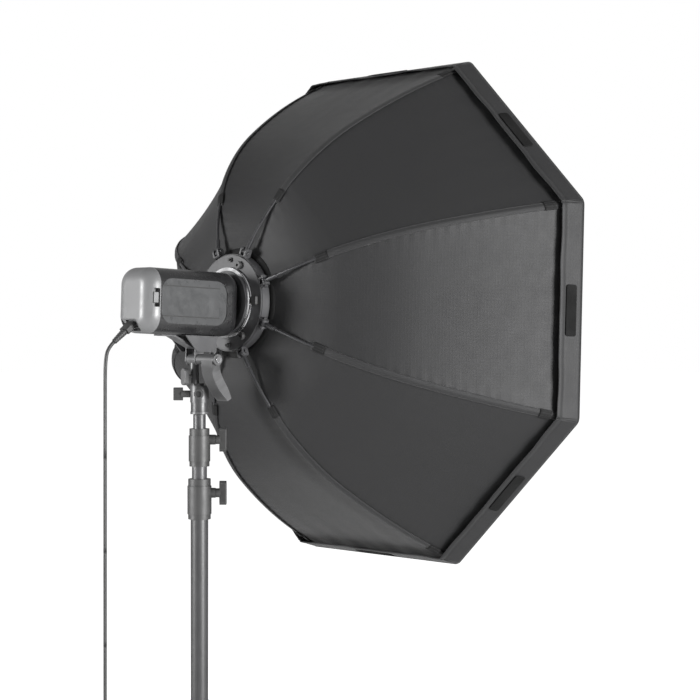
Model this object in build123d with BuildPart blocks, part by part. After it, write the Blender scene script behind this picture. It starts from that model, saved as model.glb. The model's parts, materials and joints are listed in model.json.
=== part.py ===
from build123d import *
import os
from math import atan2, cos, degrees, hypot, pi, radians, sin, tan

os.makedirs("parts", exist_ok=True)

# An octagonal folding softbox on a studio flash head, on a tilting bracket and a three-section stand.
# Millimetres. The light points along -Y, X is across, Z is up from the floor.

# ---- Driving dimensions ----
stand_y = 148.0
pivot_back = 13.0
pivot_z = 1183.0
axis_above_pivot = 117.0
head_drop = 6.0
aim_down = 2.14
gap = 0.4

sides = 8
half_side = 180 / sides
flat_width = 1067.0
ring_to_rim = 466.0
stand_to_rim = 539.0

ring_outer = 99.0
ring_bore = 71.6
plate_thick = 3.0
drum_wall = 5.0
drum_depth = 25.0

lip_depth = 49.0
lip_flare = 14.0
lip_thick = 2.0
fabric_thick = 2.0
piping = 3.0
patch_length = 103.0
patch_width = 25.0

# The rib's outer line: radius and distance ahead of the rim, then arcs as (radius, turn).
canopy_start = (108.5, -442.0)
rib_start = (220.7, -429.5)
rib_heading = 24.9
rib_arcs = [(490.0, 27.7), (1340.0, 11.8)]
rod_radius = 3.0
rod_inset = 3.4
rod_pivot = (110.0, -462.0)
seam_half = 4.5
sleeve_half = 8.0
sleeve_thick = 1.6

diffuser_w = -62.0
diffuser_flat = 488.0
baffle_w = -250.0
baffle_flat = 340.0

head_width = 105.0
head_height = 128.0
head_corner = 34.0
head_rear = -713.0
head_front = -477.0
cover_depth = 30.0
head_wall = 3.0
mount_radius = 57.0
insert_radius = 71.0

column_radius = 17.5
mid_radius = 15.0
top_radius = 12.5
tube_wall = 1.6
spigot_radius = 8.0
column_bottom = 130.0
column_top = 900.0
lower_collar_z = (865.0, 945.0)
upper_collar_z = (970.0, 1045.0)
top_tube_top = 1073.0
spigot_top = 1123.0
knob_heading = 225.0

leg_count = 3
leg_pivot = (40.0, 465.0)
leg_angle = 46.0
leg_length = 649.0
leg_width = 16.0
foot_radius = 15.0
strut_pivot = (32.0, 160.0)
strut_point = 300.0

cord_radius = 3.5

# ---- Shared frames ----
pivot = Vector(0, stand_y + pivot_back, pivot_z)
aim = radians(aim_down)
forward = Vector(0, -cos(aim), -sin(aim))
upward = Vector(0, -sin(aim), cos(aim))
rim_centre = pivot + forward * (stand_to_rim + pivot_back) + upward * axis_above_pivot
light = Plane(origin=rim_centre, x_dir=(1, 0, 0), z_dir=forward)
ring_w = -ring_to_rim


def save(builder, name):
    """Labels a finished piece and writes it."""
    builder.part.label = name
    export_step(builder.part, f"parts/{name}.step")


def save_ring_of(builder, name):
    """Writes a piece and its copies, one for each side, turned about the light's axis."""
    for number in range(sides):
        turned = builder.part.rotate(Axis(light.origin, light.z_dir), number * 2 * half_side)
        turned.label = f"{name}_{number + 1}"
        export_step(turned, f"parts/{name}_{number + 1}.step")


def outward(angle):
    """The direction away from the light's axis, anticlockwise from +X."""
    return light.x_dir * cos(radians(angle)) + light.y_dir * sin(radians(angle))


def radial_plane(angle, shift=0):
    """A plane through the light's axis: x is the radius and y the distance ahead of the rim."""
    away = outward(angle)
    side = away.cross(light.z_dir)
    return Plane(origin=light.origin + side * shift, x_dir=away, z_dir=side)


def heading_plane(height, heading, distance=0):
    """A plane that faces away from the column, at a height and a compass heading."""
    away = Vector(cos(radians(heading)), sin(radians(heading)), 0)
    origin = Vector(0, stand_y, height) + away * distance
    return Plane(origin=origin, x_dir=(0, 0, 1), z_dir=away)


def rib_angle(number):
    return half_side + number * 2 * half_side


def arc_ends(inset):
    """The rib's line moved inwards by an inset, as (radius, w, heading) where its curve changes."""
    heading = rib_heading
    x = rib_start[0] - inset * sin(radians(heading))
    y = rib_start[1] + inset * cos(radians(heading))
    ends = [(x, y, heading)]
    for radius, turn in rib_arcs:
        a, b = radians(heading), radians(heading + turn)
        x += (radius - inset) * (sin(b) - sin(a))
        y += (radius - inset) * (cos(a) - cos(b))
        heading += turn
        ends.append((x, y, heading))
    return ends


def draw_arcs(ends):
    """Tangent arcs through a list of (x, y, heading)."""
    for (x0, y0, start), (x1, y1, _) in zip(ends, ends[1:]):
        chord = hypot(x1 - x0, y1 - y0)
        half_turn = atan2(y1 - y0, x1 - x0) - radians(start)
        rise = chord / 2 * tan(half_turn / 2)
        x = (x0 + x1) / 2 + rise * (y1 - y0) / chord
        y = (y0 + y1) / 2 - rise * (x1 - x0) / chord
        ThreePointArc((x0, y0), (x, y), (x1, y1))


def draw_band(outer, inner, tail_w=None, from_ring=False):
    """Outline of a thin strip that follows the rib, between two insets."""
    first, last = [], []
    for inset in (outer, inner):
        ends = arc_ends(inset)
        draw_arcs(ends)
        start, end = ends[0][:2], ends[-1][:2]
        if from_ring:
            Line((canopy_start[0], canopy_start[1] + inset), start)
            start = (canopy_start[0], canopy_start[1] + inset)
        if tail_w is not None:
            run = (tail_w - end[1]) / tan(radians(ends[-1][2]))
            Line(end, (end[0] + run, tail_w))
            end = (end[0] + run, tail_w)
        first.append(start)
        last.append(end)
    Line(*first)
    Line(*last)


def octagon(flat, mode=Mode.ADD):
    """A regular octagon with flat sides at the top, bottom and both sides."""
    return RegularPolygon(flat, sides, major_radius=False, rotation=half_side, mode=mode)


# ---- Softbox fabric ----
with BuildPart() as gore:
    for angle, shift in ((-half_side, -seam_half), (half_side, seam_half)):
        with BuildSketch(radial_plane(angle, shift)):
            with BuildLine():
                draw_band(0, fabric_thick, tail_w=-1.0, from_ring=True)
            make_face()
    loft(ruled=True)
with BuildPart(light) as canopy:
    with PolarLocations(0, sides):
        add(light.to_local_coords(gore.part))
save(canopy, "canopy_panels")

patch_size = (32.0, 2.0)
with BuildPart() as sleeves:
    for number in range(sides):
        with BuildSketch(radial_plane(rib_angle(number))):
            with BuildLine():
                draw_band(-gap, -gap - sleeve_thick, tail_w=-16.0)
            make_face()
        extrude(amount=sleeve_half, both=True)
    for number in range(sides):
        ends = arc_ends(-3.4 - patch_size[1] / 2)
        for (x, y, heading), along in ((ends[0], 17.0), (ends[-1], -18.0)):
            x += along * cos(radians(heading))
            y += along * sin(radians(heading))
            with BuildSketch(radial_plane(rib_angle(number))):
                with Locations(Location((x, y), heading)):
                    Rectangle(*patch_size)
            extrude(amount=sleeve_half + 1, both=True)
save(sleeves, "rod_sleeves")

with BuildPart() as band:
    for inset, mode in ((0, Mode.ADD), (lip_thick, Mode.SUBTRACT)):
        over = inset and 0.5
        slope = lip_flare / lip_depth
        with BuildSketch(light.offset(-lip_depth - over)):
            octagon(flat_width / 2 - lip_flare - inset - over * slope)
        with BuildSketch(light.offset(over)):
            octagon(flat_width / 2 - inset + over * slope)
        loft(ruled=True, mode=mode)
    with BuildSketch(light.offset(0.1)):
        octagon(flat_width / 2 + 0.8)
        octagon(flat_width / 2 - 8, Mode.SUBTRACT)
    extrude(amount=piping)
save(band, "rim_band")

lip_slope = degrees(atan2(lip_depth, lip_flare))
lip_middle = (flat_width / 2 - lip_flare / 2 + 1.6, -lip_depth / 2 - 0.6)
with BuildPart() as closures:
    for number in range(sides):
        with BuildSketch(radial_plane(number * 2 * half_side)):
            with Locations(Location(lip_middle, lip_slope)):
                Rectangle(patch_width, 1.6)
        extrude(amount=patch_length / 2, both=True)
save(closures, "hook_loop_patches")

with BuildPart() as diffuser:
    with BuildSketch(light.offset(diffuser_w)):
        octagon(diffuser_flat)
    extrude(amount=1.5)
save(diffuser, "front_diffuser")

with BuildPart() as baffle:
    with BuildSketch(light.offset(baffle_w)):
        octagon(baffle_flat)
    extrude(amount=1.5)
    tab_span = (baffle_flat / cos(radians(half_side)) + 0.5, 414.0)
    for number in range(sides):
        with BuildSketch(radial_plane(rib_angle(number))):
            with Locations(((tab_span[0] + tab_span[1]) / 2, baffle_w + 1)):
                Rectangle(tab_span[1] - tab_span[0], 1.5)
        extrude(amount=9, both=True)
save(baffle, "inner_baffle")

# ---- Rods ----
ferrule_heading = 14.0
ferrule_length = 30.0
ferrule_radius = 4.5
knuckle_radius = 6.0
knuckle_half = 4.4
pin_radius = 2.5
running = 0.05
rod_tail = 34.0
hinge_plane = radial_plane(half_side)
ends = arc_ends(rod_radius + gap)
a, b = radians(ferrule_heading), radians(ends[-1][2])
collar = (rod_pivot[0] + ferrule_length * cos(a), rod_pivot[1] + ferrule_length * sin(a))
tip = (ends[-1][0] + rod_tail * cos(b), ends[-1][1] + rod_tail * sin(b))
with BuildPart() as rod:
    with BuildLine(hinge_plane) as path:
        Line(rod_pivot, collar)
        draw_arcs([(*collar, ferrule_heading)] + ends)
        Line(ends[-1][:2], tip)
    root = Plane(origin=path.line @ 0, z_dir=path.line % 0)
    with BuildSketch(root):
        Circle(rod_radius)
    sweep()
    with BuildSketch(root):
        Circle(ferrule_radius)
    extrude(amount=ferrule_length)
    with BuildSketch(hinge_plane):
        with Locations(rod_pivot):
            Circle(knuckle_radius)
    extrude(amount=knuckle_half, both=True)
    with BuildSketch(hinge_plane):
        with Locations(rod_pivot):
            Circle(pin_radius + running)
    extrude(amount=knuckle_half + 1, both=True, mode=Mode.SUBTRACT)
print("rod volume", rod.part.volume, "length", sum(edge.length for edge in path.edges()))
save_ring_of(rod, "rod")

ear_half = (4.8, 9.0)
with BuildPart() as hinges:
    for number in range(sides):
        plane = radial_plane(rib_angle(number))
        with BuildSketch(plane):
            with Locations((108.6, -462)):
                RectangleRounded(19, 16, 5)
        extrude(amount=ear_half[1], both=True)
        with BuildSketch(plane):
            with Locations((112, -461)):
                Rectangle(18, 30)
        extrude(amount=ear_half[0], both=True, mode=Mode.SUBTRACT)
        with BuildSketch(plane):
            with Locations(rod_pivot):
                Circle(pin_radius)
        extrude(amount=ear_half[1] + 1, both=True, mode=Mode.SUBTRACT)
    with BuildSketch(light.offset(ring_w - 10)):
        Circle(ring_outer + 0.1)
    extrude(amount=30, mode=Mode.SUBTRACT)
    for number in range(sides):
        plane = radial_plane(rib_angle(number))
        with BuildSketch(plane):
            with Locations(rod_pivot):
                Circle(pin_radius - 0.01)
        extrude(amount=12, both=True)
        for start in (ear_half[1] + 0.1, -12.6):
            with BuildSketch(plane.offset(start)):
                with Locations(rod_pivot):
                    RegularPolygon(4.6, 6)
            extrude(amount=3.5)
save(hinges, "rod_hinges")

# ---- Mounting ring ----
with BuildPart() as drum:
    with BuildSketch(light.offset(ring_w + plate_thick)):
        Circle(ring_outer)
        Circle(ring_outer - drum_wall, mode=Mode.SUBTRACT)
    extrude(amount=drum_depth - plate_thick)
    with BuildSketch(light.offset(ring_w + drum_depth - plate_thick)):
        Circle(ring_outer)
        Circle(76, mode=Mode.SUBTRACT)
    extrude(amount=plate_thick)
save(drum, "ring_drum")

stud_angles = (92, -93)
clip_angles = (112, -124)
stud_at = 86.6
clip_at = 81.0
with BuildPart() as plate:
    with BuildSketch(light.offset(ring_w)):
        Circle(ring_outer - 1.2)
        Circle(ring_bore, mode=Mode.SUBTRACT)
        for angle in stud_angles:
            with Locations((stud_at * cos(radians(angle)), stud_at * sin(radians(angle)))):
                Circle(2.6, mode=Mode.SUBTRACT)
    extrude(amount=plate_thick)
    chamfer(plate.faces().sort_by(Axis(light.origin, light.z_dir))[0].outer_wire().edges(), 1.2)
save(plate, "ring_plate")



def ring_spot(radius, angle):
    return (radius * cos(radians(angle)), radius * sin(radians(angle)))


with BuildPart() as screws:
    for angle in stud_angles:
        with BuildSketch(light.offset(ring_w - 9)):
            with Locations(ring_spot(stud_at, angle)):
                Circle(2.5)
        extrude(amount=15)
        with BuildSketch(light.offset(ring_w - 4)):
            with Locations(ring_spot(stud_at, angle)):
                Circle(5)
        extrude(amount=3.9)
    for angle in clip_angles:
        with BuildSketch(light.offset(ring_w - 8)):
            with Locations(ring_spot(clip_at, angle)):
                Circle(8)
                Circle(3, mode=Mode.SUBTRACT)
        extrude(amount=7.9)
    with BuildSketch(light.offset(ring_w - 7)):
        with Locations((-clip_at, 3.5), (clip_at, -3.5)):
            RectangleRounded(14, 17, 2.5)
    extrude(amount=6.9)
save(screws, "ring_screws")

insert_steps = [(70.9, -474, 3.0), (69.6, -471, 3.0), (71.0, -468, 12.0), (68.0, -456, 10.0)]
with BuildPart() as insert:
    for radius, w, depth in insert_steps:
        with BuildSketch(light.offset(w)):
            Circle(radius)
            Circle(mount_radius + 7, mode=Mode.SUBTRACT)
        extrude(amount=depth)
save(insert, "mount_insert")

# ---- Flash head ----
shell_front = head_front
shell_rear = head_rear + cover_depth
recess = (166.0, 87.5, 27.0)
recess_w = -598.0
recess_deep = 2.0
label = (146.0, 56.5)


def draw_box_section(inset=0):
    with Locations((0, -head_drop)):
        RectangleRounded(head_width - 2 * inset, head_height - 2 * inset, head_corner - inset)


def side_plane(side, distance):
    """A plane that faces sideways out of the head; its x runs forwards and its y follows from it."""
    origin = light.origin + light.x_dir * side * distance - light.y_dir * head_drop
    return Plane(origin=origin, x_dir=light.z_dir, z_dir=light.x_dir * side)


for side, name in ((-1, "left"), (1, "right")):
    with BuildPart() as shell:
        with BuildSketch(light.offset(shell_rear)):
            draw_box_section()
        extrude(amount=shell_front - shell_rear)
        front_face = shell.faces().sort_by(Axis(light.origin, light.z_dir))[-1]
        fillet(front_face.edges(), 26)
        with BuildSketch(light.offset(shell_rear - 1)):
            draw_box_section(head_wall)
        extrude(amount=shell_front - shell_rear - 22, mode=Mode.SUBTRACT)
        with BuildSketch(light.offset(shell_front - 40)):
            Circle(40)
        extrude(amount=60, mode=Mode.SUBTRACT)
        with BuildSketch(side_plane(side, head_width / 2 - recess_deep)):
            with Locations((recess_w, 0)):
                RectangleRounded(*recess)
        extrude(amount=10, mode=Mode.SUBTRACT)
        middle = Plane(origin=light.origin, x_dir=light.z_dir, z_dir=light.x_dir * side)
        split(bisect_by=middle.offset(0.05), keep=Keep.TOP)
    save(shell, f"head_shell_{name}")

with BuildPart() as badge:
    with BuildSketch(side_plane(-1, head_width / 2 - recess_deep)):
        with Locations((-607, 0)):
            RectangleRounded(*label, 3)
    extrude(amount=1.4)
save(badge, "side_plate")

display_at = (-640.0, 0.0)
dial_at = (-575.0, 0.0)
button_size = (12.0, 7.0)
button_at = (-603.0, 0.0)
panel_out = head_width / 2 - recess_deep
with BuildPart() as panel:
    with BuildSketch(side_plane(1, panel_out)):
        with Locations((-607, 0)):
            RectangleRounded(*label, 3)
        with Locations(button_at):
            RectangleRounded(button_size[0] + 0.8, button_size[1] + 0.8, 2.4, mode=Mode.SUBTRACT)
        with Locations(dial_at):
            Circle(3.05, mode=Mode.SUBTRACT)
    extrude(amount=1.4)
    with BuildSketch(side_plane(1, panel_out + 0.8)):
        with Locations(display_at):
            RectangleRounded(52, 38, 2)
    extrude(amount=2, mode=Mode.SUBTRACT)
save(panel, "control_panel")

with BuildPart() as dial:
    with BuildSketch(side_plane(1, panel_out + 0.3)):
        with Locations(dial_at):
            Circle(3)
    extrude(amount=3)
    with BuildSketch(side_plane(1, panel_out + 1.8)):
        with Locations(dial_at):
            Circle(14)
            with PolarLocations(14, 24):
                Circle(0.7, mode=Mode.SUBTRACT)
    extrude(amount=8)
    fillet(dial.faces().sort_by(Axis.X)[-1].edges(), 0.4)
save(dial, "control_dial")

with BuildPart() as button:
    with BuildSketch(side_plane(1, panel_out + 1.1)):
        with Locations(button_at):
            RectangleRounded(*button_size, 2)
    extrude(amount=2.6)
save(button, "test_button")

inlet_at = (8.0, -54.0)
inlet_pitch = 41.0
inlet_size = (52.0, 26.0)
latch_pocket_floor = 34.0
latch_w = shell_rear - 9
pitch = radians(inlet_pitch)
inlet_out = -light.z_dir * cos(pitch) - light.y_dir * sin(pitch)
inlet_centre = light.from_local_coords((inlet_at[0], inlet_at[1], head_rear + 7))
inlet = Plane(origin=inlet_centre, x_dir=light.x_dir, z_dir=inlet_out)

with BuildPart() as cover:
    with BuildSketch(light.offset(head_rear)):
        draw_box_section()
    extrude(amount=cover_depth - 0.1)
    rear_face = cover.faces().sort_by(Axis(light.origin, light.z_dir))[0]
    fillet(rear_face.edges(), 29)
    with BuildSketch(inlet.offset(-4)):
        RectangleRounded(*inlet_size, 5)
    extrude(amount=40, mode=Mode.SUBTRACT)
    with BuildSketch(inlet.offset(-8.2)):
        RectangleRounded(30, 18, 2)
    extrude(amount=5, mode=Mode.SUBTRACT)
    with BuildSketch(side_plane(-1, latch_pocket_floor)):
        with Locations((latch_w, 5)):
            RectangleRounded(14, 36, 2)
    extrude(amount=30, mode=Mode.SUBTRACT)
save(cover, "rear_cover")

with BuildPart() as latch:
    with BuildSketch(side_plane(-1, latch_pocket_floor + 1.9)):
        with Locations((latch_w, 5)):
            RectangleRounded(11, 20, 1.5)
    extrude(amount=14)
    with BuildSketch(side_plane(-1, latch_pocket_floor + 1.9)):
        with Locations((latch_w, 5)):
            RectangleRounded(13, 35, 1.5)
    extrude(amount=4)
save(latch, "cover_latch")

with BuildPart() as mount:
    with BuildSketch(light.offset(head_front + 0.1)):
        Circle(mount_radius + 6.6)
        Circle(mount_radius - 6, mode=Mode.SUBTRACT)
    extrude(amount=24)
    with BuildSketch(light.offset(-474)):
        Circle(mount_radius - 5.5)
    extrude(amount=6)
save(mount, "head_mount_ring")

with BuildPart() as flash_tube:
    with BuildLine(light.offset(-448)) as loop:
        CenterArc((0, 0), 27, 100, 340)
    with BuildSketch(Plane(origin=loop.line @ 0, z_dir=loop.line % 0)):
        Circle(4)
    sweep()
    for end in (loop.line @ 0, loop.line @ 1):
        with BuildSketch(Plane(origin=end - light.z_dir * 20, z_dir=light.z_dir)):
            Circle(3)
        extrude(amount=20)
save(flash_tube, "flash_tube")

with BuildPart() as dome:
    with BuildSketch(light.offset(-467.9)):
        Circle(44)
        Circle(41.5, mode=Mode.SUBTRACT)
    extrude(amount=34)
    with BuildSketch(light.offset(-434)):
        Circle(44)
    extrude(amount=22, taper=40)
    with BuildSketch(light.offset(-434.5)):
        Circle(41.5)
    extrude(amount=19.5, taper=40, mode=Mode.SUBTRACT)
save(dome, "glass_dome")


# ---- Tilting bracket ----
def pivot_plane(x):
    """A plane across X through the tilt pivot; x runs backwards and y runs up, square to the light."""
    origin = pivot + Vector(x, 0, 0)
    return Plane(origin=origin, x_dir=-light.z_dir, z_dir=(1, 0, 0))


bolt_radius = 4.0
knuckle_half_width = 12.0
clevis_half = (12.5, 15.5)
head_under = axis_above_pivot - head_drop - head_height / 2
with BuildPart() as clevis:
    with BuildSketch(pivot_plane(-clevis_half[1])) as cheek:
        with BuildLine():
            Polyline((-11, 24), (-11, -4), (-6, -11), (6, -11), (11, -4), (11, 24), close=True)
        make_face()
    extrude(amount=2 * clevis_half[1])
    with BuildSketch(pivot_plane(-clevis_half[0])):
        with Locations((0, 0)):
            Rectangle(40, 42)
    extrude(amount=2 * clevis_half[0], mode=Mode.SUBTRACT)
    with BuildSketch(pivot_plane(-clevis_half[0])):
        with BuildLine():
            Polyline((5, 21), (5, 24), (62, head_under - 0.2), (94, head_under - 0.2),
                     (94, head_under - 3.2), (64, head_under - 3.2), (11, 21), close=True)
        make_face()
    extrude(amount=2 * clevis_half[0])
    with BuildSketch(pivot_plane(-20)):
        Circle(bolt_radius + running)
    extrude(amount=40, mode=Mode.SUBTRACT)
save(clevis, "tilt_clevis")

with BuildPart() as yoke:
    for start in (-27, 24):
        with BuildSketch(pivot_plane(start)):
            with BuildLine():
                Polyline((46, head_under - 0.2), (-34, head_under - 0.2), (-34, 15), (15, 15), close=True)
            make_face()
        extrude(amount=3)
    with BuildSketch(pivot_plane(-24)):
        with BuildLine():
            Polyline((-12, head_under - 0.2), (-34, head_under - 0.2), (-34, head_under - 3.4),
                     (-12, head_under - 3.4), close=True)
        make_face()
    extrude(amount=48)
    with BuildSketch(pivot_plane(-24)):
        with Locations((-32.4, 30)):
            Rectangle(3, 26)
    extrude(amount=48)
save(yoke, "head_yoke")

post_radius = 9.0
post_bottom = 1135.0
post_plane = Plane(origin=(0, pivot.Y, post_bottom))
with BuildPart() as post:
    with BuildSketch(post_plane):
        Circle(post_radius)
    extrude(amount=pivot_z - post_bottom)
    with BuildSketch(Plane(origin=(0, stand_y + 5, post_bottom - 3.9))):
        Circle(13)
    extrude(amount=3.9)
    with BuildSketch(Plane(origin=pivot - Vector(knuckle_half_width, 0, 0), z_dir=(1, 0, 0))):
        Circle(11)
    extrude(amount=2 * knuckle_half_width)
    with BuildSketch(Plane(origin=pivot - Vector(20, 0, 0), z_dir=(1, 0, 0))):
        Circle(bolt_radius + running)
    extrude(amount=40, mode=Mode.SUBTRACT)
    with BuildSketch(Plane(origin=(0, pivot.Y + 4, post_bottom + 14), z_dir=(0, 1, 0))):
        Circle(3 + running)
    extrude(amount=20, mode=Mode.SUBTRACT)
save(post, "tilt_post")

lever_x = (-17.0, -72.0)
with BuildPart() as bolt:
    with BuildSketch(Plane(origin=pivot + Vector(lever_x[1] - 1, 0, 0), z_dir=(1, 0, 0))):
        Circle(bolt_radius)
    extrude(amount=16.2 - lever_x[1] + 1)
    with BuildSketch(Plane(origin=pivot + Vector(16, 0, 0), z_dir=(1, 0, 0))):
        RegularPolygon(8, 6)
    extrude(amount=5)
    with BuildSketch(Plane(origin=pivot + Vector(lever_x[1] - 3.4, 0, 0), z_dir=(1, 0, 0))):
        Circle(6.2)
    extrude(amount=3)
save(bolt, "tilt_bolt")

with BuildPart() as lever:
    barrel = Plane(origin=pivot + Vector(lever_x[1], 0, 0), z_dir=(1, 0, 0))
    with BuildSketch(barrel):
        Circle(11)
    extrude(amount=lever_x[0] - lever_x[1])
    handle = Plane(origin=pivot + Vector(-66, 0, 0), x_dir=(0, 1, 0), z_dir=(1, 0, 0))
    with BuildSketch(handle):
        with BuildLine():
            Spline((10.5, 0), (9, -25), (-6, -56), (-31, -82))
            Line((-31, -82), (-40, -77))
            Spline((-40, -77), (-27, -50), (-14, -28), (-10.5, 0))
            Line((-10.5, 0), (10.5, 0))
        make_face()
    extrude(amount=32)
    with BuildSketch(barrel.offset(-1)):
        Circle(bolt_radius + running)
    extrude(amount=60, mode=Mode.SUBTRACT)
save(lever, "tilt_lever")

receiver_z = (top_tube_top + 1, 1131.0)
screw_z = 1114.0
post_knob_z = 1149.0
screw_heading, socket_heading = 45.0, 135.0
with BuildPart() as receiver:
    for bottom, top, radius in ((receiver_z[0], 1079, 18.2), (1079, 1097, 17.2), (1097, receiver_z[1], 18.5)):
        with BuildSketch(Plane(origin=(0, stand_y, bottom))):
            Circle(radius)
        extrude(amount=top - bottom)
    with BuildSketch(heading_plane(screw_z, socket_heading, 12)):
        Circle(9.5)
    extrude(amount=10)
    with BuildSketch(heading_plane(screw_z, socket_heading, 18)):
        Circle(6.2)
    extrude(amount=10, mode=Mode.SUBTRACT)
    with BuildSketch(Plane(origin=(0, stand_y, receiver_z[0] - 1))):
        Circle(spigot_radius + running)
    extrude(amount=spigot_top - receiver_z[0] + 2, mode=Mode.SUBTRACT)
    with BuildSketch(heading_plane(screw_z, screw_heading, 5)):
        Circle(3 + running)
    extrude(amount=30, mode=Mode.SUBTRACT)
save(receiver, "bracket_receiver")


def thumb_screw(plane_at, shank, start, barrel, wing, length):
    """A shank, a round barrel and a pair of wings, along one axis."""
    with BuildPart() as screw:
        with BuildSketch(plane_at(start)):
            Circle(shank)
        extrude(amount=barrel[0] - start)
        with BuildSketch(plane_at(barrel[0])):
            Circle(barrel[2])
        extrude(amount=barrel[1] - barrel[0])
        with BuildSketch(plane_at(wing[0])):
            RectangleRounded(length, wing[2], wing[2] / 2 - 0.1)
        extrude(amount=wing[1] - wing[0])
        fillet(screw.faces().sort_by(Axis(plane_at(0).origin, plane_at(0).z_dir))[-1].edges(), 1.5)
    return screw


save(thumb_screw(lambda d: heading_plane(screw_z, screw_heading, d), 3, 8.5, (19, 36, 7), (33, 52, 7), 26),
     "receiver_screw")
save(thumb_screw(lambda d: heading_plane(post_knob_z, 90, pivot_back + d), 3, 5, (10, 22, 4), (20, 30, 14), 34),
     "post_knob")

# ---- Stand ----
collar_boss = (19.0, 32.0, 10.0)


def section(z_from, z_to, outer, inner):
    """A tube about the column's axis."""
    with BuildSketch(Plane(origin=(0, stand_y, z_from))) as ring:
        Circle(outer)
        if inner:
            Circle(inner, mode=Mode.SUBTRACT)
    extrude(ring.sketch, amount=z_to - z_from)


with BuildPart() as top_tube:
    section(160, top_tube_top, top_radius, top_radius - tube_wall)
    section(top_tube_top - 12, top_tube_top, top_radius - 0.5, 0)
    section(top_tube_top, spigot_top, spigot_radius, 0)
save(top_tube, "top_tube")

with BuildPart() as mid_tube:
    section(140, 1010, mid_radius, mid_radius - tube_wall)
save(mid_tube, "middle_tube")

with BuildPart() as base_tube:
    section(column_bottom, column_top, column_radius, column_radius - tube_wall)
    section(column_bottom - 4, column_bottom, column_radius + 1.5, 0)
save(base_tube, "base_tube")


def clamp_collar(z_span, tube_top, outer, tube, inner, knob_z):
    """A collar that grips the tube below and lets the next tube slide through it."""
    with BuildPart() as collar:
        section(z_span[0], z_span[1], outer, 0)
        section(z_span[0] + 10, z_span[1] - 14, outer + 1.5, 0)
        with BuildSketch(heading_plane(knob_z, knob_heading, 8)):
            Circle(collar_boss[2])
        extrude(amount=collar_boss[1] - 8)
        with BuildSketch(Plane(origin=(0, stand_y, z_span[0] - 1))):
            Circle(tube)
        extrude(amount=tube_top - z_span[0] + 1, mode=Mode.SUBTRACT)
        with BuildSketch(Plane(origin=(0, stand_y, tube_top - 1))):
            Circle(inner)
        extrude(amount=z_span[1] - tube_top + 2, mode=Mode.SUBTRACT)
        with BuildSketch(heading_plane(knob_z, knob_heading, 5)):
            Circle(4 + running)
        extrude(amount=40, mode=Mode.SUBTRACT)
    return collar


upper_knob_z, lower_knob_z = 1023.0, 917.0
save(clamp_collar(upper_collar_z, 1010, 20, mid_radius, top_radius + gap, upper_knob_z), "upper_collar")
save(clamp_collar(lower_collar_z, column_top, 22.5, column_radius, mid_radius + gap, lower_knob_z),
     "lower_collar")
for name, height, start in (("upper_knob", upper_knob_z, 13.4), ("lower_knob", lower_knob_z, 15.9)):
    save(thumb_screw(lambda d: heading_plane(height, knob_heading, d), 4, start, (32.4, 42, 9),
                     (40, 54, 13), 48), name)

# ---- Tripod base ----
leg_headings = [270.0, 30.0, 150.0]
collar_z = (440.0, 500.0)
leg_knob_z, leg_knob_heading = 484.0, 90.0
lug_half = (8.4, 12.0)


def leg_plane(heading, shift=0):
    """An upright plane through the column: x runs outwards and y runs up."""
    away = Vector(cos(radians(heading)), sin(radians(heading)), 0)
    side = away.cross(Vector(0, 0, 1))
    return Plane(origin=Vector(0, stand_y, 0) + side * shift, x_dir=away, z_dir=side)


with BuildPart() as leg_collar:
    section(collar_z[0], collar_z[1], 27, 0)
    for heading in leg_headings:
        with BuildSketch(leg_plane(heading)):
            with Locations((34, leg_pivot[1])):
                RectangleRounded(26, 22, 8)
        extrude(amount=lug_half[1], both=True)
        with BuildSketch(leg_plane(heading)):
            with Locations((43, leg_pivot[1])):
                Rectangle(30, 30)
        extrude(amount=lug_half[0], both=True, mode=Mode.SUBTRACT)
    with BuildSketch(heading_plane(leg_knob_z, leg_knob_heading, 8)):
        Circle(10)
    extrude(amount=26)
    for heading in leg_headings:
        with BuildSketch(leg_plane(heading)):
            with Locations(leg_pivot):
                Circle(3)
        extrude(amount=lug_half[1] + 2, both=True)
    section_cut = Plane(origin=(0, stand_y, collar_z[0] - 1))
    with BuildSketch(section_cut):
        Circle(column_radius + gap)
    extrude(amount=collar_z[1] - collar_z[0] + 2, mode=Mode.SUBTRACT)
    with BuildSketch(heading_plane(leg_knob_z, leg_knob_heading, 5)):
        Circle(4 + running)
    extrude(amount=40, mode=Mode.SUBTRACT)
save(leg_collar, "leg_collar")
save(thumb_screw(lambda d: heading_plane(leg_knob_z, leg_knob_heading, d), 4, 18.4, (34.4, 44, 9),
                 (42, 56, 13), 48), "leg_knob")

hub_z = (142.0, 178.0)
with BuildPart() as hub:
    section(hub_z[0], hub_z[1], 26, 0)
    for heading in leg_headings:
        with BuildSketch(leg_plane(heading)):
            with Locations((30, strut_pivot[1])):
                RectangleRounded(20, 16, 6)
        extrude(amount=8.2, both=True)
        with BuildSketch(leg_plane(heading)):
            with Locations(strut_pivot):
                Circle(3 + running)
        extrude(amount=10, both=True, mode=Mode.SUBTRACT)
    with BuildSketch(Plane(origin=(0, stand_y, hub_z[0] - 1))):
        Circle(column_radius)
    extrude(amount=hub_z[1] - hub_z[0] + 2, mode=Mode.SUBTRACT)
save(hub, "leg_hub")

leg_slope = radians(leg_angle)
foot_at = (leg_pivot[0] + leg_length * sin(leg_slope), leg_pivot[1] - leg_length * cos(leg_slope))
strut_joint = (leg_pivot[0] + strut_point * sin(leg_slope), leg_pivot[1] - strut_point * cos(leg_slope))
strut_length = hypot(strut_joint[0] - strut_pivot[0], strut_joint[1] - strut_pivot[1])
strut_slope = degrees(atan2(strut_joint[1] - strut_pivot[1], strut_joint[0] - strut_pivot[0]))
print("foot", foot_at, "strut length", strut_length, "strut from level", strut_slope)

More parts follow.
